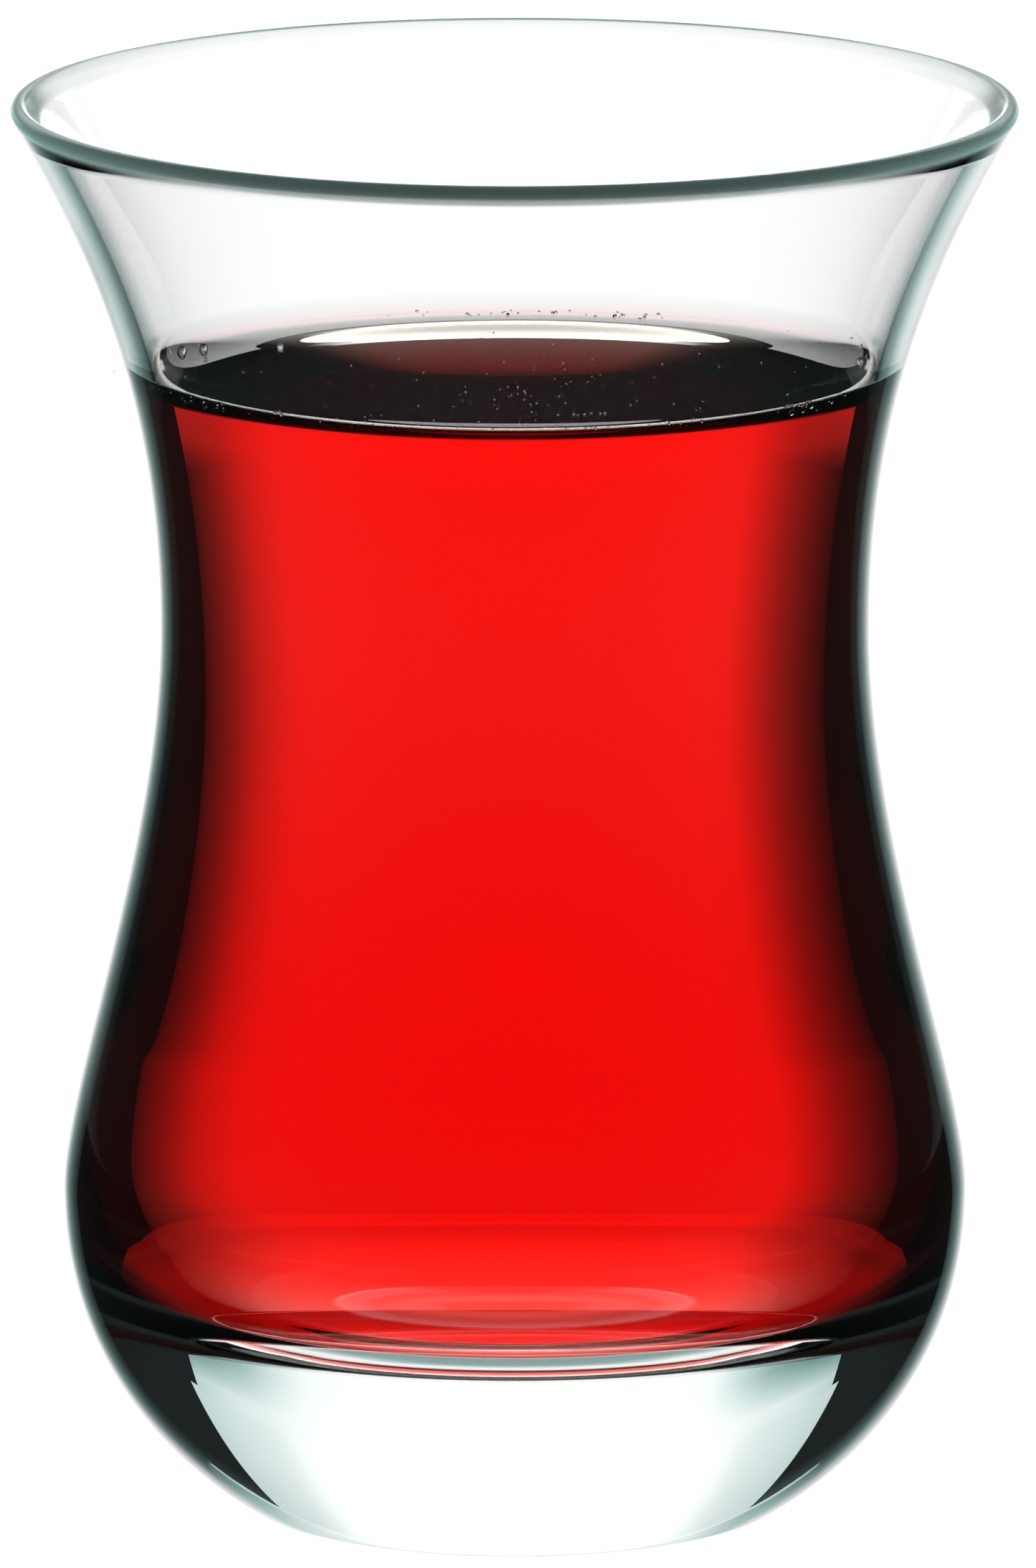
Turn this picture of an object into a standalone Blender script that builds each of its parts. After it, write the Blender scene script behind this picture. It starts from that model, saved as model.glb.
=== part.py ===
"""A waisted tea glass and the black tea in it, both turned about the vertical axis.

Units are metres and +Z is up. The origin is the middle of the foot, on the surface that the glass
stands on. Outlines are lists of (radius, height) points.
"""

import math

import bpy
from mathutils import Vector
from mathutils.geometry import interpolate_bezier

# Driving sizes of the glass: its lip, waist, belly and foot.
HEIGHT = 0.0853
LIP_RADIUS = 0.0300
LIP_BEAD = 0.00055
FLARE_SLOPE = math.radians(60.4)
WAIST_RADIUS = 0.0212
WAIST_HEIGHT = 0.0535
BELLY_RADIUS = 0.0271
BELLY_HEIGHT = 0.0192
FOOT_RADIUS = 0.0155
FOOT_ROUND = 0.0019
FOOT_SLOPE = math.radians(32)

# How far each stretch of the outer outline holds the direction that it starts or ends in.
FLARE_HOLD = 0.0100
WAIST_HOLD_UP = 0.0134
WAIST_HOLD_DOWN = 0.0130
BELLY_HOLD_UP = 0.0058
BELLY_HOLD_DOWN = 0.0105
FOOT_HOLD = 0.0048

# The foot stands on a flat ring, and is hollowed a little inside it.
FOOT_RING_WIDTH = 0.0030
FOOT_HOLLOW = 0.0006

# The wall and the thick bottom.
LIP_STEP = 0.00025
LIP_STEP_DROP = 0.0007
WAIST_WALL = 0.0016
BELLY_WALL = 0.0021
FLOOR_HEIGHT = 0.0127
FLOOR_CORNER = 0.0088
FLOOR_DISH = 0.0002

# The tea: its level, the tilts between which its surface bends up to the wall, the length that sets
# the size of that bend, and the gap that keeps the two solids apart.
TEA_LEVEL = 0.0687
RIM_TILT = math.radians(50)
FLATTEST_TILT = math.radians(3)
BEND_LENGTH = 0.0015
GAP = 0.0003

# Fineness of the turned surfaces.
SIDES = 64
LIP_STEPS = 8
WALL_STEPS = 9
ROUND_STEPS = 5
RIM_STEPS = 6
AXIS_MERGE = 0.00001


def curve(start, start_hold, end_hold, end, steps):
    """Points of one smooth stretch, both ends included."""
    ends = (Vector(start), Vector(start) + Vector(start_hold), Vector(end) + Vector(end_hold), Vector(end))
    return [tuple(point)[:2] for point in interpolate_bezier(*ends, steps + 1)]


def arc(centre, radius, first, last, steps):
    """Points of a circular arc between two angles, which are counted up from the outward direction."""
    angles = [first + (last - first) * step / steps for step in range(steps + 1)]
    return [(centre[0] + radius * math.cos(a), centre[1] + radius * math.sin(a)) for a in angles]


def along(angle, length):
    """A step of this length in the direction of the angle."""
    return (length * math.cos(angle), length * math.sin(angle))


def lip_outline():
    """The rounded lip, from the inner wall's top over to the outer wall's."""
    centre = (LIP_RADIUS - LIP_BEAD, HEIGHT - LIP_BEAD)
    outer = FLARE_SLOPE - math.pi / 2
    return arc(centre, LIP_BEAD, outer + math.pi, outer, LIP_STEPS)


def outer_outline(lip_end):
    """The outside, from the end of the lip down to the flat ring of the foot."""
    waist = (WAIST_RADIUS, WAIST_HEIGHT)
    belly = (BELLY_RADIUS, BELLY_HEIGHT)
    foot_centre = (FOOT_RADIUS, FOOT_ROUND)
    foot_arc = arc(foot_centre, FOOT_ROUND, FOOT_SLOPE - math.pi / 2, -math.pi / 2, ROUND_STEPS)
    flare = curve(lip_end, along(FLARE_SLOPE + math.pi, FLARE_HOLD), (0, WAIST_HOLD_UP), waist, WALL_STEPS)
    swell = curve(waist, (0, -WAIST_HOLD_DOWN), (0, BELLY_HOLD_UP), belly, WALL_STEPS)
    tuck = curve(belly, (0, -BELLY_HOLD_DOWN), along(FOOT_SLOPE, FOOT_HOLD), foot_arc[0], WALL_STEPS)
    return flare + swell[1:] + tuck[1:] + foot_arc[1:]


def underside():
    """The hollow inside the foot's ring, from its edge to the axis."""
    edge = (FOOT_RADIUS - FOOT_RING_WIDTH, 0)
    return curve(edge, (-edge[0] / 3, FOOT_HOLLOW), (edge[0] / 3, 0), (0, FOOT_HOLLOW), ROUND_STEPS)


def inner_outline():
    """The inside, from the middle of the floor up to just under the lip."""
    lip_start = lip_outline()[0]
    step_down = Vector(along(FLARE_SLOPE + math.pi, LIP_STEP_DROP))
    step_in = Vector(along(FLARE_SLOPE + math.pi / 2, LIP_STEP))
    wall_top = tuple(Vector(lip_start) + step_down + step_in)
    waist = (WAIST_RADIUS - WAIST_WALL, WAIST_HEIGHT)
    corner = (BELLY_RADIUS - BELLY_WALL - FLOOR_CORNER, FLOOR_HEIGHT + FLOOR_CORNER)
    corner_arc = arc(corner, FLOOR_CORNER, -math.pi / 2, 0, ROUND_STEPS + 1)
    floor = curve((0, FLOOR_HEIGHT - FLOOR_DISH), (corner[0] / 3, 0), (-corner[0] / 3, 0), corner_arc[0], 3)
    swell = curve(corner_arc[-1], (0, BELLY_HOLD_UP), (0, -WAIST_HOLD_DOWN), waist, WALL_STEPS)
    flare = curve(waist, (0, WAIST_HOLD_UP), along(FLARE_SLOPE + math.pi, FLARE_HOLD), wall_top, WALL_STEPS)
    return floor + corner_arc[1:] + swell[1:] + flare[1:]


def radius_at(outline, height):
    """The outline's radius at a height, along the part of it that climbs."""
    for (low_radius, low), (high_radius, high) in zip(outline, outline[1:]):
        if low <= height < high:
            share = (height - low) / (high - low)
            return low_radius + share * (high_radius - low_radius)
    raise ValueError(f"the outline has no point at height {height}")


def shrunk(outline, gap):
    """The outline moved in by the gap, square to its own direction at each point."""
    moved = [(0, outline[0][1] + gap)]
    for before, here, after in zip(outline, outline[1:], outline[2:]):
        direction = (Vector(after) - Vector(before)).normalized()
        moved.append((here[0] - gap * direction.y, here[1] + gap * direction.x))
    return moved


def glass_outline():
    """The whole glass: up the inside, over the lip and down the outside."""
    lip = lip_outline()
    return inner_outline() + lip + outer_outline(lip[-1])[1:] + underside()


def rim_height(tilt):
    """The height of a still liquid's surface where it has this tilt, as it bends up to a wall."""
    return TEA_LEVEL + 2 * BEND_LENGTH * math.sin(tilt / 2)


def tea_rim(wall):
    """The bend of the tea's surface, from the wall inwards to where it is almost level."""
    ratio = FLATTEST_TILT / RIM_TILT
    tilts = [RIM_TILT * ratio ** (step / RIM_STEPS) for step in range(RIM_STEPS + 1)]
    top = rim_height(RIM_TILT)
    rim = [(radius_at(wall, top), top)]
    for steeper, flatter in zip(tilts, tilts[1:]):
        middle = (steeper + flatter) / 2
        run = BEND_LENGTH * math.cos(middle / 2) / math.tan(middle) * (steeper - flatter)
        rim.append((rim[-1][0] - run, rim_height(flatter)))
    return rim


def tea_outline():
    """The tea: across its surface, up the rim that clings to the wall and down to the floor."""
    wall = shrunk(inner_outline(), GAP)
    rim = tea_rim(wall)
    side = [point for point in reversed(wall) if point[1] < rim[0][1] - GAP]
    return [(0, TEA_LEVEL)] + rim[::-1] + side


def material(name, colour, roughness, transmission, ior):
    """A plain material for a clear or coloured body."""
    made = bpy.data.materials.new(name)
    made.use_nodes = True
    shader = made.node_tree.nodes["Principled BSDF"]
    shader.inputs["Base Color"].default_value = colour
    shader.inputs["Roughness"].default_value = roughness
    shader.inputs["Metallic"].default_value = 0
    shader.inputs["Transmission Weight"].default_value = transmission
    shader.inputs["IOR"].default_value = ior
    return made


def turned(name, outline, finish, collection):
    """An object whose outline is turned about the vertical axis."""
    mesh = bpy.data.meshes.new(name)
    points = [(radius, 0, height) for radius, height in outline]
    edges = [(index, index + 1) for index in range(len(points) - 1)]
    mesh.from_pydata(points, edges, [])
    mesh.materials.append(finish)
    made = bpy.data.objects.new(name, mesh)
    collection.objects.link(made)
    screw = made.modifiers.new("Turn", "SCREW")
    screw.axis = "Z"
    screw.angle = math.tau
    screw.steps = SIDES
    screw.render_steps = SIDES
    screw.use_smooth_shade = True
    screw.use_merge_vertices = True
    screw.merge_threshold = AXIS_MERGE
    return made


def main():
    for old in list(bpy.data.objects):
        bpy.data.objects.remove(old)
    collection = bpy.data.collections.new("tea glass")
    bpy.context.scene.collection.children.link(collection)
    clear_glass = material("clear glass", (0.93, 0.97, 0.96, 1), 0.02, 1, 1.52)
    black_tea = material("black tea", (0.55, 0.02, 0.005, 1), 0.03, 0.6, 1.33)
    turned("glass", glass_outline(), clear_glass, collection)
    turned("tea", tea_outline(), black_tea, collection)


if __name__ == "__main__":
    main()
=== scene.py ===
"""A waisted tea glass filled with black tea, finished for a close studio view.

Everything is in metres with +Z up, and the glass stands on the floor at the origin. Outlines are lists
of (radius, height) points that are spun about the vertical axis.
"""

from __future__ import annotations

import logging
import math
import random
from dataclasses import dataclass, field
from enum import Enum

import bmesh
import bpy
from mathutils import Matrix, Vector
from mathutils.geometry import interpolate_bezier


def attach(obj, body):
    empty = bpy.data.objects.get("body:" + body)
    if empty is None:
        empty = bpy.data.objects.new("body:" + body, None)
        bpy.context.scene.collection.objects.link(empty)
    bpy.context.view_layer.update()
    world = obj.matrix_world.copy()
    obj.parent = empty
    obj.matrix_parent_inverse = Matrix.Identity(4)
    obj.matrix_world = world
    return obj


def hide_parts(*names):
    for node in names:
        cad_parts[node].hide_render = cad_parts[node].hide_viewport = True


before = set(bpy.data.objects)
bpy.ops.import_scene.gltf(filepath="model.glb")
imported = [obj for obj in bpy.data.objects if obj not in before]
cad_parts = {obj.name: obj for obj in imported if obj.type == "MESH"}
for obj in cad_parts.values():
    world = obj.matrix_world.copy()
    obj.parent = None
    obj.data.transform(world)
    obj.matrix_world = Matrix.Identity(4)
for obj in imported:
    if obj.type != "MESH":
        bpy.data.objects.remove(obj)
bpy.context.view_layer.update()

log = logging.getLogger("tea_glass")

Point = tuple[float, float]
Colour = tuple[float, float, float]

# How finely the outlines are spun, how close two points are one, and which edges stay sharp.
SPIN_STEPS = 240
WELD_DISTANCE = 1e-7
SHARP_ANGLE = math.radians(50)

# How finely the single bubbles and the scattered ones are divided.
BUBBLE_FINENESS = 3
SMALL_FINENESS = 2


class Slot(Enum):
    """The record's material slots."""

    CLEAR_GLASS = "clear_glass"
    BLACK_TEA = "black_tea"


def curve(start: Point, start_hold: Point, end_hold: Point, end: Point, steps: int) -> list[Point]:
    """Points of one smooth stretch of an outline.

    Args:
        start: where the stretch starts.
        start_hold: the handle at its start, as a step from it.
        end_hold: the handle at its end, as a step from it.
        end: where the stretch ends.
        steps: the number of pieces that it is cut into.

    Returns:
        The points, both ends included.
    """
    ends = (Vector(start), Vector(start) + Vector(start_hold), Vector(end) + Vector(end_hold), Vector(end))
    return [(point[0], point[1]) for point in interpolate_bezier(*ends, steps + 1)]


def arc(centre: Point, radius: float, first: float, last: float, steps: int) -> list[Point]:
    """Points of a circular arc between two angles, which are counted up from the outward direction.

    Args:
        centre: the arc's centre.
        radius: its radius.
        first: the angle where it starts, in radians.
        last: the angle where it ends, in radians.
        steps: the number of pieces that it is cut into.

    Returns:
        The points, both ends included.
    """
    angles = [first + (last - first) * step / steps for step in range(steps + 1)]
    return [(centre[0] + radius * math.cos(a), centre[1] + radius * math.sin(a)) for a in angles]


def along(angle: float, length: float) -> Point:
    """A step of this length in the direction of the angle."""
    return (length * math.cos(angle), length * math.sin(angle))


def radius_at(outline: list[Point], height: float) -> float:
    """The outline's radius at a height, along the part of it that climbs.

    Args:
        outline: the points, from the axis upwards.
        height: the height asked for.

    Returns:
        The radius there.
    """
    for (low_radius, low), (high_radius, high) in zip(outline, outline[1:]):
        if low <= height < high:
            share = (height - low) / (high - low)
            return low_radius + share * (high_radius - low_radius)
    raise ValueError(f"the outline has no point at height {height}")


def slope_at(outline: list[Point], height: float) -> float:
    """The outline's slope at a height, along the part of it that climbs.

    Args:
        outline: the points, from the axis upwards.
        height: the height asked for.

    Returns:
        The angle above level, in radians.
    """
    for before, low, high, after in zip(outline, outline[1:], outline[2:], outline[3:]):
        if low[1] <= height < high[1]:
            share = (height - low[1]) / (high[1] - low[1])
            lower = math.atan2(high[1] - before[1], high[0] - before[0])
            upper = math.atan2(after[1] - low[1], after[0] - low[0])
            return lower + share * (upper - lower)
    raise ValueError(f"the outline has no point at height {height}")


def swollen(outline: list[Point], reach: float, top: float, fade: float) -> list[Point]:
    """The outline moved into the wall, square to its own direction, and back onto it towards the top.

    Args:
        outline: the points of an inner wall, from the axis upwards.
        reach: how far it moves into the wall.
        top: the height where it is back on the wall.
        fade: the height over which it comes back.

    Returns:
        The moved points that lie under the top.
    """
    moved = [(0.0, outline[0][1] - reach)]
    for before, here, after in zip(outline, outline[1:], outline[2:]):
        if here[1] < top:
            depth = reach * min(1.0, (top - here[1]) / fade)
            direction = (Vector(after) - Vector(before)).normalized()
            moved.append((here[0] + depth * direction.y, here[1] - depth * direction.x))
    return moved


def spun(name: str, outline: list[Point]) -> bpy.types.Object:
    """A closed, smooth piece whose outline is spun about the vertical axis.

    Args:
        name: the piece's name.
        outline: its points, from the axis round to the axis.

    Returns:
        The new object, at the origin.
    """
    mesh = bmesh.new()
    points = [mesh.verts.new((radius, 0, height)) for radius, height in outline]
    edges = [mesh.edges.new(pair) for pair in zip(points, points[1:])]
    bmesh.ops.spin(
        mesh,
        geom=points + edges,
        cent=(0, 0, 0),
        axis=(0, 0, 1),
        angle=math.tau,
        steps=SPIN_STEPS,
        use_merge=True,
    )
    bmesh.ops.remove_doubles(mesh, verts=mesh.verts, dist=WELD_DISTANCE)
    bmesh.ops.recalc_face_normals(mesh, faces=mesh.faces)
    return finished(name, mesh)


def finished(name: str, mesh: bmesh.types.BMesh) -> bpy.types.Object:
    """Turns a bmesh into a smooth shaded object at the origin.

    Args:
        name: the object's name.
        mesh: the bmesh, which is freed.

    Returns:
        The new object, linked to the scene.
    """
    for face in mesh.faces:
        face.smooth = True
    for edge in mesh.edges:
        edge.smooth = len(edge.link_faces) < 2 or edge.calc_face_angle() < SHARP_ANGLE
    data = bpy.data.meshes.new(name)
    mesh.to_mesh(data)
    mesh.free()
    made = bpy.data.objects.new(name, data)
    bpy.context.scene.collection.objects.link(made)
    return made


def new_material(name: str) -> tuple[bpy.types.Material, bpy.types.Nodes, bpy.types.NodeLinks]:
    """A material with its default nodes.

    Args:
        name: the material's name.

    Returns:
        The material, its nodes and its links.
    """
    made = bpy.data.materials.new(name)
    made.use_nodes = True
    return made, made.node_tree.nodes, made.node_tree.links


def math_node(tree: bpy.types.NodeTree, operation: str, *values: object) -> bpy.types.NodeSocket:
    """A Math node in the tree.

    Args:
        tree: the node tree that it goes in.
        operation: the name of the operation.
        values: its inputs, as numbers or as sockets that feed them.

    Returns:
        The node's output.
    """
    node = tree.nodes.new("ShaderNodeMath")
    node.operation = operation
    for socket, value in zip(node.inputs, values):
        if isinstance(value, bpy.types.NodeSocket):
            tree.links.new(value, socket)
        else:
            socket.default_value = value
    return node.outputs[0]


def ramp_node(
    tree: bpy.types.NodeTree, value: bpy.types.NodeSocket, marks: tuple[Point, ...]
) -> bpy.types.NodeSocket:
    """A Color Ramp node that turns a value into a strength.

    Args:
        tree: the node tree that it goes in.
        value: the socket with the value.
        marks: pairs of a place along the ramp and the strength there, all between 0 and 1.

    Returns:
        The socket with the strength.
    """
    node = tree.nodes.new("ShaderNodeValToRGB")
    elements = node.color_ramp.elements
    while len(elements) < len(marks):
        elements.new(1.0)
    for element, (position, _) in zip(elements, marks):
        element.position = position
    for element, (_, strength) in zip(elements, marks):
        element.color = (strength, strength, strength, 1)
    tree.links.new(value, node.inputs["Fac"])
    return node.outputs["Color"]


def surface_waves() -> bpy.types.NodeTree:
    """The shared group that makes the slow waves of a pressed or liquid surface.

    Returns:
        A group that takes Vector, Scale and Stretch, and puts out Height.
    """
    group = bpy.data.node_groups.get("surface waves")
    if group:
        return group
    group = bpy.data.node_groups.new("surface waves", "ShaderNodeTree")
    sockets = group.interface
    sockets.new_socket("Vector", in_out="INPUT", socket_type="NodeSocketVector")
    sockets.new_socket("Scale", in_out="INPUT", socket_type="NodeSocketFloat")
    sockets.new_socket("Stretch", in_out="INPUT", socket_type="NodeSocketVector")
    sockets.new_socket("Height", in_out="OUTPUT", socket_type="NodeSocketFloat")
    given = group.nodes.new("NodeGroupInput")
    result = group.nodes.new("NodeGroupOutput")
    stretched = group.nodes.new("ShaderNodeVectorMath")
    stretched.operation = "MULTIPLY"
    noise = group.nodes.new("ShaderNodeTexNoise")
    noise.inputs["Detail"].default_value = 1.0
    noise.inputs["Roughness"].default_value = 0.4
    group.links.new(given.outputs["Vector"], stretched.inputs[0])
    group.links.new(given.outputs["Stretch"], stretched.inputs[1])
    group.links.new(stretched.outputs[0], noise.inputs["Vector"])
    group.links.new(given.outputs["Scale"], noise.inputs["Scale"])
    group.links.new(noise.outputs["Fac"], result.inputs["Height"])
    return group


@dataclass(frozen=True)
class ClearFinish:
    """A clear body: how it bends light, what it takes out of it and how its surface waves.

    Over the heights of satin_from it turns from smooth to satin, with a faint haze on it.
    """

    name: str
    ior: float
    tint: Colour
    density: float
    wave_scale: float
    wave_stretch: Colour
    wave_depth: float
    satin_from: Point = (1.0, 1.1)
    satin_roughness: float = 0.0
    haze: float = 0.45
    haze_roughness: float = 0.8
    haze_tint: Colour = (0.50, 0.85, 0.80)

    def make(self) -> bpy.types.Material:
        """Builds the material.

        Returns:
            The material, with its absorption as its volume.
        """
        made, nodes, links = new_material(self.name)
        shader = nodes["Principled BSDF"]
        shader.inputs["Base Color"].default_value = (1, 1, 1, 1)
        shader.inputs["Metallic"].default_value = 0
        shader.inputs["Roughness"].default_value = 0
        shader.inputs["Transmission Weight"].default_value = 1
        shader.inputs["IOR"].default_value = self.ior
        body = nodes.new("ShaderNodeVolumeAbsorption")
        body.inputs["Color"].default_value = (*self.tint, 1)
        body.inputs["Density"].default_value = self.density
        links.new(body.outputs[0], nodes["Material Output"].inputs["Volume"])
        place = nodes.new("ShaderNodeTexCoord")
        if self.wave_depth:
            waves = nodes.new("ShaderNodeGroup")
            waves.node_tree = surface_waves()
            waves.inputs["Scale"].default_value = self.wave_scale
            waves.inputs["Stretch"].default_value = self.wave_stretch
            links.new(place.outputs["Object"], waves.inputs["Vector"])
            bump = nodes.new("ShaderNodeBump")
            bump.inputs["Strength"].default_value = 1
            bump.inputs["Distance"].default_value = self.wave_depth
            links.new(waves.outputs["Height"], bump.inputs["Height"])
            links.new(bump.outputs["Normal"], shader.inputs["Normal"])
        if self.satin_roughness:
            parts = nodes.new("ShaderNodeSeparateXYZ")
            satin = nodes.new("ShaderNodeMapRange")
            satin.inputs["From Min"].default_value = self.satin_from[0]
            satin.inputs["From Max"].default_value = self.satin_from[1]
            satin.inputs["To Max"].default_value = self.satin_roughness
            links.new(place.outputs["Object"], parts.inputs[0])
            links.new(parts.outputs["Z"], satin.inputs["Value"])
            links.new(satin.outputs["Result"], shader.inputs["Roughness"])
            haze_share = self.haze / self.satin_roughness
            haze = math_node(made.node_tree, "MULTIPLY", satin.outputs["Result"], haze_share)
            links.new(haze, shader.inputs["Sheen Weight"])
            shader.inputs["Sheen Roughness"].default_value = self.haze_roughness
            shader.inputs["Sheen Tint"].default_value = (*self.haze_tint, 1)
        return made


GLASS_FINISH = ClearFinish(
    name="clear glass",
    ior=1.52,
    tint=(0.55, 0.80, 0.76),
    density=6.0,
    wave_scale=90.0,
    wave_stretch=(1.0, 1.0, 2.2),
    wave_depth=0.000006,
    satin_from=(0.0841, 0.0844),
    satin_roughness=0.22,
)
TEA_FINISH = ClearFinish(
    name="black tea",
    ior=1.333,
    tint=(0.988, 0.20, 0.14),
    density=160.0,
    wave_scale=60.0,
    wave_stretch=(1.0, 1.0, 1.0),
    wave_depth=0.0,
)
BUBBLE_FINISH = ClearFinish(
    name="tea bubble",
    ior=1.333,
    tint=(0.9, 0.6, 0.5),
    density=300.0,
    wave_scale=900.0,
    wave_stretch=(1.0, 1.0, 1.0),
    wave_depth=0.000002,
)


@dataclass(frozen=True)
class FoamFinish:
    """The specks of foam, from pale to brownish."""

    name: str = "tea foam"
    pale: Colour = (0.86, 0.84, 0.80)
    brown: Colour = (0.50, 0.36, 0.30)
    roughness: float = 0.4
    blotch_scale: float = 400.0

    def make(self) -> bpy.types.Material:
        """Builds the material.

        Returns:
            The material.
        """
        made, nodes, links = new_material(self.name)
        shader = nodes["Principled BSDF"]
        shader.inputs["Metallic"].default_value = 0
        shader.inputs["Roughness"].default_value = self.roughness
        place = nodes.new("ShaderNodeTexCoord")
        waves = nodes.new("ShaderNodeGroup")
        waves.node_tree = surface_waves()
        waves.inputs["Scale"].default_value = self.blotch_scale
        waves.inputs["Stretch"].default_value = (1.0, 1.0, 1.0)
        links.new(place.outputs["Object"], waves.inputs["Vector"])
        colour = nodes.new("ShaderNodeMix")
        colour.data_type = "RGBA"
        colour.inputs["A"].default_value = (*self.brown, 1)
        colour.inputs["B"].default_value = (*self.pale, 1)
        links.new(waves.outputs["Height"], colour.inputs["Factor"])
        links.new(colour.outputs["Result"], shader.inputs["Base Color"])
        return made


@dataclass
class GlassBody:
    """The glass: a flared lip, a waist, a belly, and a thick solid bottom on a ring foot."""

    height: float = 0.0853
    lip_radius: float = 0.0300
    lip_bead: float = 0.00055
    flare_slope: float = math.radians(60.4)
    waist_radius: float = 0.0212
    waist_height: float = 0.0535
    belly_radius: float = 0.0271
    belly_height: float = 0.0192
    foot_radius: float = 0.0155
    foot_round: float = 0.0019
    foot_slope: float = math.radians(32)
    flare_hold: float = 0.0100
    waist_hold_up: float = 0.0134
    waist_hold_down: float = 0.0130
    belly_hold_up: float = 0.0058
    belly_hold_down: float = 0.0105
    foot_hold: float = 0.0048
    foot_ring_width: float = 0.0030
    foot_hollow: float = 0.0006
    lip_step: float = 0.00025
    lip_step_drop: float = 0.0007
    waist_wall: float = 0.0016
    belly_wall: float = 0.0021
    floor_height: float = 0.0127
    floor_corner: float = 0.0088
    floor_dish: float = 0.0002
    wall_steps: int = 34
    lip_steps: int = 20
    round_steps: int = 16

    def lip_outline(self) -> list[Point]:
        """The rounded lip.

        Returns:
            The points, from the inner wall's top over to the outer wall's.
        """
        centre = (self.lip_radius - self.lip_bead, self.height - self.lip_bead)
        outer = self.flare_slope - math.pi / 2
        return arc(centre, self.lip_bead, outer + math.pi, outer, self.lip_steps)

    def outer_outline(self, lip_end: Point) -> list[Point]:
        """The outside.

        Args:
            lip_end: the last point of the lip.

        Returns:
            The points, from the end of the lip down to the flat ring of the foot.
        """
        waist = (self.waist_radius, self.waist_height)
        belly = (self.belly_radius, self.belly_height)
        foot_centre = (self.foot_radius, self.foot_round)
        foot_start = self.foot_slope - math.pi / 2
        foot_arc = arc(foot_centre, self.foot_round, foot_start, -math.pi / 2, self.round_steps)
        lip_handle = along(self.flare_slope + math.pi, self.flare_hold)
        foot_handle = along(self.foot_slope, self.foot_hold)
        flare = curve(lip_end, lip_handle, (0, self.waist_hold_up), waist, self.wall_steps)
        swell = curve(waist, (0, -self.waist_hold_down), (0, self.belly_hold_up), belly, self.wall_steps)
        tuck = curve(belly, (0, -self.belly_hold_down), foot_handle, foot_arc[0], self.wall_steps)
        return flare + swell[1:] + tuck[1:] + foot_arc[1:]

    def underside(self) -> list[Point]:
        """The hollow inside the foot's ring.

        Returns:
            The points, from the ring's inner edge to the axis.
        """
        edge = (self.foot_radius - self.foot_ring_width, 0)
        third = edge[0] / 3
        return curve(edge, (-third, self.foot_hollow), (third, 0), (0, self.foot_hollow), self.round_steps)

    def inner_outline(self) -> list[Point]:
        """The inside.

        Returns:
            The points, from the middle of the floor up to just under the lip.
        """
        step_down = Vector(along(self.flare_slope + math.pi, self.lip_step_drop))
        step_in = Vector(along(self.flare_slope + math.pi / 2, self.lip_step))
        wall_top = tuple(Vector(self.lip_outline()[0]) + step_down + step_in)
        waist = (self.waist_radius - self.waist_wall, self.waist_height)
        corner_radius = self.belly_radius - self.belly_wall - self.floor_corner
        corner = (corner_radius, self.floor_height + self.floor_corner)
        corner_arc = arc(corner, self.floor_corner, -math.pi / 2, 0, self.round_steps)
        third = corner_radius / 3
        middle = (0, self.floor_height - self.floor_dish)
        floor = curve(middle, (third, 0), (-third, 0), corner_arc[0], self.round_steps)
        lower = (0, self.belly_hold_up)
        swell = curve(corner_arc[-1], lower, (0, -self.waist_hold_down), waist, self.wall_steps)
        lip_handle = along(self.flare_slope + math.pi, self.flare_hold)
        flare = curve(waist, (0, self.waist_hold_up), lip_handle, wall_top, self.wall_steps)
        return floor + corner_arc[1:] + swell[1:] + flare[1:]

    def build(self) -> bpy.types.Object:
        """Spins the glass, dresses it and puts it in the frame.

        Returns:
            The glass.
        """
        lip = self.lip_outline()
        outline = self.inner_outline() + lip + self.outer_outline(lip[-1])[1:] + self.underside()
        piece = spun("clear_glass_body", outline)
        piece.data.materials.append(GLASS_FINISH.make())
        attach(piece, "root")
        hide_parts("glass")
        return piece


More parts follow.
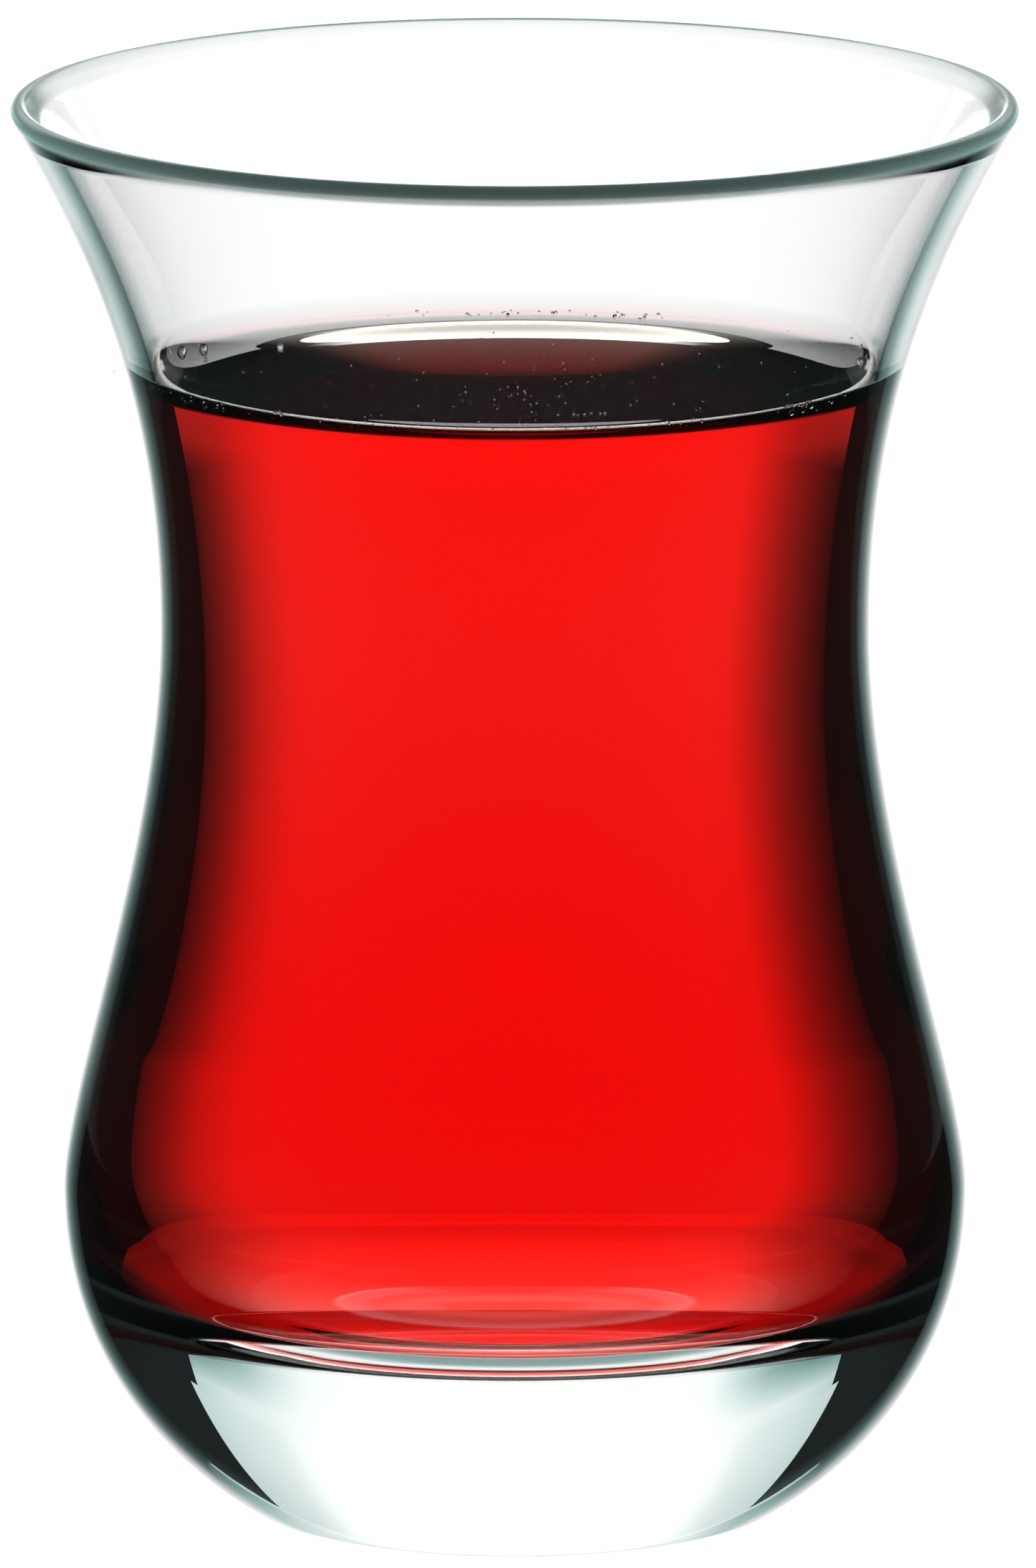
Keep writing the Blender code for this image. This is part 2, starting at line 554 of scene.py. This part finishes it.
@dataclass
class TeaBody:
    """The tea, which reaches just into the wall so that no air gap shows.

    Its surface bends up to the wall, over a distance that bend_length sets. The points of that bend
    crowd towards the wall.
    """

    glass: GlassBody
    level: float = 0.0686
    wall_reach: float = 0.0001
    reach_fade: float = 0.0020
    bend_length: float = 0.0013
    first_tilt: float = math.radians(70)
    flattest_tilt: float = math.radians(0.4)
    tilt_passes: int = 6
    rim_steps: int = 110
    rim_crowding: float = 1.3
    surface_rim: list[Point] = field(init=False)

    def __post_init__(self) -> None:
        """Works out the bend of the surface once."""
        self.surface_rim = self.rim(self.glass.inner_outline())

    def rim_height(self, tilt: float) -> float:
        """The height of the surface where it has this tilt, as it bends up to the wall."""
        return self.level + 2 * self.bend_length * math.sin(tilt / 2)

    def contact_tilt(self, wall: list[Point]) -> float:
        """The tilt with which the surface runs into the wall without a corner.

        Args:
            wall: the outline of the glass's inside.

        Returns:
            The tilt, in radians.
        """
        tilt = self.first_tilt
        for _ in range(self.tilt_passes):
            tilt = slope_at(wall, self.rim_height(tilt))
        return tilt

    def rim(self, wall: list[Point]) -> list[Point]:
        """The bend of the surface, from the wall inwards to where it is level.

        Args:
            wall: the outline of the glass's inside.

        Returns:
            The points, the highest first.
        """
        tilt = self.contact_tilt(wall)
        spread = math.log(tilt / self.flattest_tilt)
        shares = [step / self.rim_steps for step in range(self.rim_steps + 1)]
        tilts = [tilt * math.exp(-spread * share ** self.rim_crowding) for share in shares]
        top = self.rim_height(tilt)
        points = [(radius_at(wall, top), top)]
        for steeper, flatter in zip(tilts, tilts[1:]):
            middle = (steeper + flatter) / 2
            run = self.bend_length * math.cos(middle / 2) / math.tan(middle) * (steeper - flatter)
            points.append((points[-1][0] - run, self.rim_height(flatter)))
        return [point for point in points if point[0] > 0]

    def surface_height(self, distance: float) -> float:
        """The height of the tea's surface.

        Args:
            distance: the distance from the axis.

        Returns:
            The height there.
        """
        for (outer, high), (inner, low) in zip(self.surface_rim, self.surface_rim[1:]):
            if inner <= distance < outer:
                return low + (high - low) * (distance - inner) / (outer - inner)
        return self.level

    def build(self) -> bpy.types.Object:
        """Spins the tea, dresses it and puts it in the frame.

        Returns:
            The tea.
        """
        wall = self.glass.inner_outline()
        rim = self.surface_rim
        side = swollen(wall, self.wall_reach, rim[0][1], self.reach_fade)
        piece = spun("black_tea_body", [(0.0, self.level)] + rim[::-1] + side[::-1])
        piece.data.materials.append(TEA_FINISH.make())
        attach(piece, "root")
        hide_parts("tea")
        return piece


@dataclass(frozen=True)
class Stretch:
    """A part of the surface where small bubbles gather.

    Turns are in degrees from the front. Distances are from the axis, or from the wall where they are
    negative.
    """

    count: int
    turns: tuple[float, float]
    distances: tuple[float, float]
    radii: tuple[float, float]


@dataclass
class Froth:
    """The bubbles and specks of foam that float on the tea and cling along the glass.

    Single bubbles are given as (turn, distance, radius), counted as in Stretch.
    """

    tea: TeaBody
    seed: int = 11
    rise: float = 0.4
    bubbles: tuple[tuple[float, float, float], ...] = (
        (-101.0, 0.0222, 0.00036),
        (-103.0, 0.0209, 0.00030),
        (-110.0, 0.0203, 0.00027),
        (-104.0, 0.0194, 0.00012),
        (-124.6, 0.0174, 0.00022),
        (-100.0, 0.0236, 0.00014),
        (-93.0, 0.0240, 0.00010),
        (93.0, 0.0210, 0.00026),
        (96.0, 0.0224, 0.00030),
        (103.0, 0.0227, 0.00024),
        (110.0, 0.0231, 0.00014),
        (47.0, -0.0005, 0.00026),
        (49.5, -0.0005, 0.00018),
        (51.0, -0.0003, 0.00022),
        (53.0, -0.0006, 0.00013),
        (56.0, -0.0003, 0.00016),
    )
    bubble_stretches: tuple[Stretch, ...] = (
        Stretch(34, (153.0, 197.0), (0.0200, 0.0208), (0.00005, 0.00011)),
        Stretch(40, (-62.0, 60.0), (-0.0003, -0.0001), (0.00005, 0.00010)),
        Stretch(16, (-64.0, -44.0), (-0.0006, -0.0001), (0.00005, 0.00012)),
        Stretch(12, (-86.0, -66.0), (-0.0005, -0.0001), (0.00004, 0.00009)),
    )
    speck_stretches: tuple[Stretch, ...] = (
        Stretch(70, (-180.0, 180.0), (0.0020, 0.0215), (0.000025, 0.000055)),
        Stretch(26, (-40.0, 40.0), (0.0030, 0.0150), (0.000025, 0.000060)),
        Stretch(8, (12.0, 26.0), (0.0116, 0.0122), (0.00005, 0.00009)),
        Stretch(30, (-70.0, 70.0), (-0.0006, -0.0001), (0.000025, 0.000050)),
    )

    def add_ball(
        self, mesh: bmesh.types.BMesh, turn: float, distance: float, radius: float, fineness: int
    ) -> None:
        """Adds one bubble or speck, its middle a little above the tea's surface.

        Args:
            mesh: what it is added to.
            turn: the angle about the axis, in degrees from the front.
            distance: the distance from the axis, or from the wall where it is negative.
            radius: its radius.
            fineness: how finely the ball is divided.
        """
        angle = math.radians(turn)
        if distance < 0:
            distance += self.tea.surface_rim[0][0]
        height = self.tea.surface_height(distance) + radius * self.rise
        place = Matrix.Translation((distance * math.sin(angle), -distance * math.cos(angle), height))
        bmesh.ops.create_icosphere(mesh, subdivisions=fineness, radius=radius, matrix=place)

    def scatter(
        self, mesh: bmesh.types.BMesh, stretches: tuple[Stretch, ...], chance: random.Random
    ) -> None:
        """Scatters small balls over the stretches.

        Args:
            mesh: what they are added to.
            stretches: where they gather.
            chance: the seeded source of the random draws.
        """
        for stretch in stretches:
            for _ in range(stretch.count):
                turn = chance.uniform(*stretch.turns)
                distance = chance.uniform(*stretch.distances)
                self.add_ball(mesh, turn, distance, chance.uniform(*stretch.radii), SMALL_FINENESS)

    def build(self) -> list[bpy.types.Object]:
        """Makes the bubbles and the specks, dresses them and puts them in the frame.

        Returns:
            The bubbles and the specks.
        """
        chance = random.Random(self.seed)
        clear, foam = bmesh.new(), bmesh.new()
        for turn, distance, radius in self.bubbles:
            self.add_ball(clear, turn, distance, radius, BUBBLE_FINENESS)
        self.scatter(clear, self.bubble_stretches, chance)
        self.scatter(foam, self.speck_stretches, chance)
        pieces = [finished("tea_bubbles", clear), finished("foam_specks", foam)]
        for piece, finish in zip(pieces, (BUBBLE_FINISH, FoamFinish())):
            piece.data.materials.append(finish.make())
            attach(piece, "root")
        return pieces


@dataclass(frozen=True)
class HotSpot:
    """The brightest part of a light card, which fades evenly all round."""

    strength: float
    across: float
    height: float
    reach_across: float
    reach_up: float
    tint: Colour = (1.0, 0.97, 0.82)


@dataclass(frozen=True)
class LightCard:
    """An upright card behind the glass, which glows by height and by distance from its middle.

    The glow is given as (position, strength) up the card and across it. It may go over from one
    strength across to another between the heights of side_change. The card's edges are the first and
    the last of these positions, and top_share narrows its top.
    """

    name: str
    distance: float
    heights: tuple[Point, ...]
    low_sides: tuple[Point, ...]
    high_sides: tuple[Point, ...] = ()
    side_change: Point = (0.060, 0.085)
    top_share: float = 1.0
    hot_spot: HotSpot | None = None
    dim_tint: Colour = (0.62, 1.0, 0.96)
    white_from: Point = (0.35, 1.15)

    def profile(
        self, tree: bpy.types.NodeTree, along_it: bpy.types.NodeSocket, stops: tuple[Point, ...]
    ) -> bpy.types.NodeSocket:
        """The strength along one direction of the card.

        Args:
            tree: the card's node tree.
            along_it: the position in that direction, in metres.
            stops: pairs of position and strength.

        Returns:
            The socket with the strength.
        """
        first, last = stops[0][0], stops[-1][0]
        highest = max(strength for _, strength in stops)
        place = tree.nodes.new("ShaderNodeMapRange")
        place.inputs["From Min"].default_value = first
        place.inputs["From Max"].default_value = last
        tree.links.new(along_it, place.inputs["Value"])
        length = last - first
        marks = tuple(((position - first) / length, strength / highest) for position, strength in stops)
        share = ramp_node(tree, place.outputs["Result"], marks)
        return math_node(tree, "MULTIPLY", share, highest)

    def hot_glow(
        self, tree: bpy.types.NodeTree, across: bpy.types.NodeSocket, up: bpy.types.NodeSocket
    ) -> bpy.types.NodeSocket:
        """The strength that the hot spot adds.

        Args:
            tree: the card's node tree.
            across: the socket with the position across.
            up: the socket with the height.

        Returns:
            The socket with the strength.
        """
        spot = self.hot_spot
        squares = []
        for place, middle, reach in (
            (across, spot.across, spot.reach_across),
            (up, spot.height, spot.reach_up),
        ):
            offset = math_node(tree, "MULTIPLY", math_node(tree, "SUBTRACT", place, middle), 1 / reach)
            squares.append(math_node(tree, "POWER", offset, 2.0))
        fall = math_node(tree, "MULTIPLY", math_node(tree, "ADD", *squares), -1.0)
        return math_node(tree, "MULTIPLY", math_node(tree, "EXPONENT", fall), spot.strength)

    def material(self) -> bpy.types.Material:
        """The glow, a little green where it is dim.

        Returns:
            The material.
        """
        made, nodes, links = new_material(f"{self.name} glow")
        tree = made.node_tree
        nodes.clear()
        place = nodes.new("ShaderNodeTexCoord")
        parts = nodes.new("ShaderNodeSeparateXYZ")
        links.new(place.outputs["Object"], parts.inputs[0])
        across, up = parts.outputs["X"], parts.outputs["Z"]
        sides = self.profile(tree, across, self.low_sides)
        if self.high_sides:
            change = nodes.new("ShaderNodeMapRange")
            change.inputs["From Min"].default_value = self.side_change[0]
            change.inputs["From Max"].default_value = self.side_change[1]
            links.new(up, change.inputs["Value"])
            blend = nodes.new("ShaderNodeMix")
            links.new(change.outputs["Result"], blend.inputs["Factor"])
            links.new(sides, blend.inputs["A"])
            links.new(self.profile(tree, across, self.high_sides), blend.inputs["B"])
            sides = blend.outputs["Result"]
        strength = math_node(tree, "MULTIPLY", self.profile(tree, up, self.heights), sides)
        whiteness = nodes.new("ShaderNodeMapRange")
        whiteness.inputs["From Min"].default_value = self.white_from[0]
        whiteness.inputs["From Max"].default_value = self.white_from[1]
        links.new(strength, whiteness.inputs["Value"])
        tint = nodes.new("ShaderNodeMix")
        tint.data_type = "RGBA"
        links.new(whiteness.outputs["Result"], tint.inputs["Factor"])
        tint.inputs["A"].default_value = (*self.dim_tint, 1)
        tint.inputs["B"].default_value = (1, 1, 1, 1)
        glow = nodes.new("ShaderNodeEmission")
        links.new(tint.outputs["Result"], glow.inputs["Color"])
        links.new(strength, glow.inputs["Strength"])
        output = nodes.new("ShaderNodeOutputMaterial")
        links.new(glow.outputs[0], output.inputs["Surface"])
        if self.hot_spot:
            spot = nodes.new("ShaderNodeEmission")
            spot.inputs["Color"].default_value = (*self.hot_spot.tint, 1)
            links.new(self.hot_glow(tree, across, up), spot.inputs["Strength"])
            both = nodes.new("ShaderNodeAddShader")
            links.new(glow.outputs[0], both.inputs[0])
            links.new(spot.outputs[0], both.inputs[1])
            links.new(both.outputs[0], output.inputs["Surface"])
        return made

    def build(self, camera: bpy.types.Object) -> bpy.types.Object:
        """Stands the card behind the glass, turned to the camera.

        Args:
            camera: what the card turns to.

        Returns:
            The card.
        """
        mesh = bmesh.new()
        bmesh.ops.create_grid(mesh, x_segments=1, y_segments=1, size=1)
        for corner in mesh.verts:
            side = self.low_sides[-1][0] if corner.co.x > 0 else self.low_sides[0][0]
            height = self.heights[0][0]
            if corner.co.y > 0:
                side, height = side * self.top_share, self.heights[-1][0]
            corner.co = (side, self.distance, height)
        card = finished(self.name, mesh)
        card.data.materials.append(self.material())
        hide_from_room(card)
        turn = card.constraints.new("LOCKED_TRACK")
        turn.target = camera
        turn.track_axis = "TRACK_NEGATIVE_Y"
        turn.lock_axis = "LOCK_Z"
        return card


SOFTBOX = LightCard(
    name="softbox",
    distance=0.250,
    heights=(
        (-0.600, 0.10),
        (-0.420, 0.32),
        (-0.300, 0.40),
        (-0.200, 0.45),
        (-0.150, 0.75),
        (-0.125, 1.10),
        (-0.090, 1.20),
        (-0.030, 1.18),
        (0.010, 1.22),
        (0.0960, 1.28),
    ),
    low_sides=(
        (-0.176, 0.05),
        (-0.146, 0.17),
        (-0.125, 0.32),
        (-0.109, 0.45),
        (-0.092, 0.70),
        (-0.076, 0.95),
        (-0.060, 1.00),
        (0.060, 1.00),
        (0.080, 0.95),
        (0.104, 0.72),
        (0.125, 0.45),
        (0.146, 0.28),
        (0.176, 0.09),
    ),
    high_sides=(
        (-0.176, 0.62),
        (-0.142, 0.76),
        (-0.115, 0.84),
        (-0.092, 0.94),
        (-0.072, 1.00),
        (0.072, 1.00),
        (0.092, 0.94),
        (0.115, 0.84),
        (0.142, 0.76),
        (0.176, 0.62),
    ),
    hot_spot=HotSpot(strength=5.0, across=0.000, height=0.093, reach_across=0.040, reach_up=0.020),
)
UPPER_CARD = LightCard(
    name="upper_card",
    distance=0.500,
    heights=((0.184, 1.60), (0.520, 1.60)),
    low_sides=(
        (-0.394, 0.52),
        (-0.300, 0.60),
        (-0.250, 0.64),
        (-0.225, 0.70),
        (-0.200, 0.80),
        (-0.180, 0.90),
        (-0.150, 1.00),
        (0.150, 1.00),
        (0.180, 0.90),
        (0.200, 0.80),
        (0.225, 0.70),
        (0.250, 0.64),
        (0.300, 0.60),
        (0.394, 0.52),
    ),
    top_share=0.72,
)
SURFACE_LAMP = LightCard(
    name="surface_lamp",
    distance=0.500,
    heights=((0.098, 5.0), (0.144, 5.0), (0.154, 0.0)),
    low_sides=((-0.036, 0.00), (-0.020, 1.00), (0.018, 1.00), (0.034, 0.00)),
)


def hide_from_room(card: bpy.types.Object) -> None:
    """Leaves a light card to be seen in and through the glass alone.

    Args:
        card: the card.
    """
    card.visible_camera = False
    card.visible_diffuse = False
    card.visible_shadow = False


@dataclass
class Studio:
    """The camera, the room and the floor.

    The room's glow is given as (degrees above level, strength).
    """

    frame_height: int = 2186
    focal_pixels: float = 29717.0
    sensor_height: float = 24.0
    camera_place: Colour = (0.00019, -1.25, 0.3008)
    camera_drop: float = math.radians(11.62)
    floor_radius: float = 3.0
    floor_sides: int = 96
    floor_colour: Colour = (0.9, 0.9, 0.9)
    floor_roughness: float = 0.9
    room_glow: tuple[tuple[float, float], ...] = (
        (-90.0, 0.02),
        (44.0, 0.02),
        (60.0, 0.12),
        (90.0, 0.15),
    )
    room_tint: Colour = (0.7, 1.0, 0.96)

    def camera(self) -> bpy.types.Object:
        """The camera at the viewing angle of a table-top close-up.

        Returns:
            The camera.
        """
        lens = bpy.data.cameras.new("camera")
        lens.sensor_fit = "VERTICAL"
        lens.sensor_height = self.sensor_height
        lens.lens = self.focal_pixels / self.frame_height * self.sensor_height
        lens.clip_start = 0.01
        made = bpy.data.objects.new("camera", lens)
        made.location = self.camera_place
        made.rotation_euler = (math.pi / 2 - self.camera_drop, 0, 0)
        bpy.context.scene.collection.objects.link(made)
        bpy.context.scene.camera = made
        return made

    def floor(self) -> bpy.types.Object:
        """The plain pale floor, lit evenly to white.

        Returns:
            The floor.
        """
        mesh = bmesh.new()
        bmesh.ops.create_circle(mesh, cap_ends=True, segments=self.floor_sides, radius=self.floor_radius)
        made = finished("floor", mesh)
        finish, nodes, _ = new_material("pale floor")
        shader = nodes["Principled BSDF"]
        shader.inputs["Base Color"].default_value = (*self.floor_colour, 1)
        shader.inputs["Roughness"].default_value = self.floor_roughness
        shader.inputs["Emission Color"].default_value = (1, 1, 1, 1)
        shader.inputs["Emission Strength"].default_value = 1.0
        made.data.materials.append(finish)
        made.visible_transmission = False
        made.visible_glossy = False
        return made

    def room(self) -> None:
        """A white room for the camera and for soft light, and a dim one in and through the glass."""
        world = bpy.data.worlds.new("room")
        bpy.context.scene.world = world
        world.use_nodes = True
        tree = world.node_tree
        nodes, links = tree.nodes, tree.links
        nodes.clear()
        path = nodes.new("ShaderNodeLightPath")
        seen = math_node(tree, "MAXIMUM", path.outputs["Is Camera Ray"], path.outputs["Is Diffuse Ray"])
        white = nodes.new("ShaderNodeBackground")
        white.inputs["Color"].default_value = (1, 1, 1, 1)
        dim = nodes.new("ShaderNodeBackground")
        dim.inputs["Color"].default_value = (*self.room_tint, 1)
        place = nodes.new("ShaderNodeTexCoord")
        parts = nodes.new("ShaderNodeSeparateXYZ")
        links.new(place.outputs["Generated"], parts.inputs[0])
        rise = math_node(tree, "ARCSINE", parts.outputs["Z"])
        share = math_node(tree, "MULTIPLY_ADD", rise, 1 / math.pi, 0.5)
        marks = tuple((degrees / 180 + 0.5, strength) for degrees, strength in self.room_glow)
        links.new(ramp_node(tree, share, marks), dim.inputs["Strength"])
        mix = nodes.new("ShaderNodeMixShader")
        output = nodes.new("ShaderNodeOutputWorld")
        links.new(seen, mix.inputs[0])
        links.new(dim.outputs[0], mix.inputs[1])
        links.new(white.outputs[0], mix.inputs[2])
        links.new(mix.outputs[0], output.inputs["Surface"])

    def light_paths(self) -> None:
        """Enough bounces for light to cross the glass and the tea, and colours shown as they are."""
        scene = bpy.context.scene
        scene.cycles.max_bounces = 12
        scene.cycles.transmission_bounces = 12
        scene.cycles.glossy_bounces = 8
        scene.cycles.sample_clamp_indirect = 6
        scene.cycles.caustics_reflective = False
        scene.view_settings.view_transform = "Standard"


def main() -> None:
    """Builds the glass, the tea and the studio."""
    studio = Studio()
    camera = studio.camera()
    glass = GlassBody()
    tea = TeaBody(glass)
    for piece in (glass.build(), tea.build(), *Froth(tea).build()):
        log.info("%s has %d faces", piece.name, len(piece.data.polygons))
    for card in (SOFTBOX, UPPER_CARD, SURFACE_LAMP):
        card.build(camera)
    studio.floor()
    studio.room()
    studio.light_paths()


if __name__ == "__main__":
    logging.basicConfig(level=logging.INFO, format="%(name)s: %(message)s")
    main()
